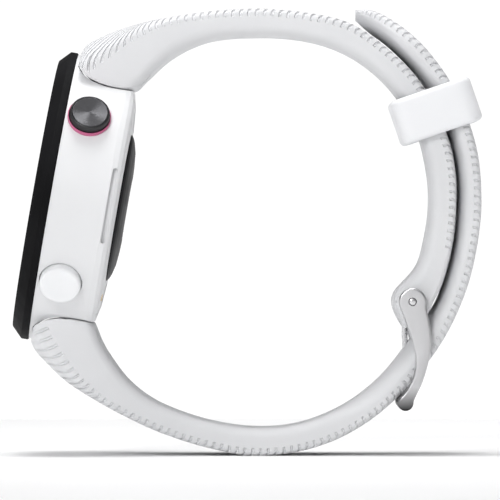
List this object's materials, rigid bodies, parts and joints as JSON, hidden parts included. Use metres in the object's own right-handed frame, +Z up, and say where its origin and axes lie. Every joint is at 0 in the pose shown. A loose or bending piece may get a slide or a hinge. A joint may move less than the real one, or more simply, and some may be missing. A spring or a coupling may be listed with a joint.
{
  "type": "gps running watch",
  "caption": "Round multisport watch head with side push buttons and a rear optical sensor, worn on a grooved silicone strap fastened by a pin buckle and a sliding keeper loop.",
  "frame": {"origin": "centre of the footprint, on the surface that the fastened strap stands on", "axes": "+Z up; the closed strap loop lies in the XZ plane with the watch face towards -X, leaning back 9.94 degrees; +Y across the strap, so the three o'clock side faces -Y"},
  "size_m": [0.0636, 0.04, 0.0604],
  "materials": {
    "case_white": "fine satin",
    "bezel_black": "satin, slightly glossy facet",
    "lens_glass": "polished",
    "display_glass": "reflective display",
    "seal_rubber": "matt",
    "inner_plastic": "matt",
    "antenna_ceramic": "matt",
    "board_green": "solder-resist gloss",
    "shield_steel": "satin",
    "battery_foil": "satin foil",
    "contact_brass": "gold plated",
    "accent_pink": "satin",
    "sensor_black": "glossy",
    "sensor_glass": "polished",
    "led_white": "clear",
    "strap_silicone": "matt silicone",
    "buckle_steel": "brushed",
    "screw_steel": "satin",
    "button_black": "satin",
    "button_metal": "dark anodised, turned",
    "button_white": "satin"
  },
  "bodies": {
    "watch": {"back_cover": "case_white", "back_cover_gasket": "seal_rubber", "back_cover_screws": "screw_steel", "backlight_frame": "inner_plastic", "battery": "battery_foil", "battery_tray": "inner_plastic", "bezel": "bezel_black", "board_shield": "shield_steel", "buckle_pin": "buckle_steel", "button_accent_ring": "accent_pink", "button_switches": "inner_plastic", "buzzer": "contact_brass", "charge_contacts": "contact_brass", "display_panel": "display_glass", "gps_antenna": "antenna_ceramic", "lens": "lens_glass", "lens_gasket": "seal_rubber", "lower_bar_spring": "screw_steel", "lower_bar_tip": "screw_steel", "lower_bar_tube": "screw_steel", "main_board": "board_green", "main_housing": "case_white", "sensor_board": "board_green", "sensor_housing": "sensor_black", "sensor_leds": "led_white", "sensor_window": "sensor_glass", "strap_lower": "strap_silicone", "strap_upper": "strap_silicone", "upper_bar_spring": "screw_steel", "upper_bar_tip": "screw_steel", "upper_bar_tube": "screw_steel", "vibration_motor": "shield_steel"},
    "start_button_assembly": {"start_button": "button_black", "start_button_clip": "shield_steel", "start_button_face": "button_metal", "start_button_seal": "seal_rubber"},
    "back_button_assembly": {"back_button": "button_white", "back_button_clip": "shield_steel", "back_button_seal": "seal_rubber"},
    "light_button_assembly": {"light_button": "button_white", "light_button_clip": "shield_steel", "light_button_seal": "seal_rubber"},
    "up_button_assembly": {"up_button": "button_white", "up_button_clip": "shield_steel", "up_button_seal": "seal_rubber"},
    "down_button_assembly": {"down_button": "button_white", "down_button_clip": "shield_steel", "down_button_seal": "seal_rubber"},
    "upper_release": {"upper_release_pin": "screw_steel"},
    "lower_release": {"lower_release_pin": "screw_steel"},
    "buckle_bow": {"buckle_frame": "buckle_steel"},
    "tongue": {"buckle_tongue": "buckle_steel"},
    "strap_keeper": {"keeper": "strap_silicone"}
  },
  "joints": [
    {"name": "start_button_press", "type": "slide", "parent": "watch", "child": "start_button_assembly", "axis": [-0.099, 0.8192, -0.565], "range_m": [0, 0.0004], "stiffness_N_per_m": 800, "springref_m": -0.0008},
    {"name": "back_button_press", "type": "slide", "parent": "watch", "child": "back_button_assembly", "axis": [0.099, 0.8192, 0.565], "range_m": [0, 0.0004], "stiffness_N_per_m": 800, "springref_m": -0.0008},
    {"name": "light_button_press", "type": "slide", "parent": "watch", "child": "light_button_assembly", "axis": [-0.099, -0.8192, -0.565], "range_m": [0, 0.0004], "stiffness_N_per_m": 800, "springref_m": -0.0008},
    {"name": "up_button_press", "type": "slide", "parent": "watch", "child": "up_button_assembly", "axis": [0, -1, 0], "range_m": [0, 0.0004], "stiffness_N_per_m": 800, "springref_m": -0.0008},
    {"name": "down_button_press", "type": "slide", "parent": "watch", "child": "down_button_assembly", "axis": [0.099, -0.8192, 0.565], "range_m": [0, 0.0004], "stiffness_N_per_m": 800, "springref_m": -0.0008},
    {"name": "upper_release_slide", "type": "slide", "parent": "watch", "child": "upper_release", "axis": [0, 1, 0], "range_m": [0, 0.0013], "stiffness_N_per_m": 400, "springref_m": -0.0015, "deforming": ["upper_bar_spring"]},
    {"name": "lower_release_slide", "type": "slide", "parent": "watch", "child": "lower_release", "axis": [0, 1, 0], "range_m": [0, 0.0013], "stiffness_N_per_m": 400, "springref_m": -0.0015, "deforming": ["lower_bar_spring"]},
    {"name": "buckle_swing", "type": "hinge", "parent": "watch", "child": "buckle_bow", "pos_m": [0.02234, 0, 0.02072], "axis": [0, -1, 0], "range_deg": [0, 3]},
    {"name": "tongue_swing", "type": "hinge", "parent": "buckle_bow", "child": "tongue", "pos_m": [0.02234, 0, 0.02072], "axis": [0, -1, 0], "range_deg": [0, 3]},
    {"name": "keeper_slide", "type": "hinge", "parent": "watch", "child": "strap_keeper", "pos_m": [0.00305, 0, 0.03551], "axis": [0, -1, 0], "range_deg": [-14, 11]}
  ]
}
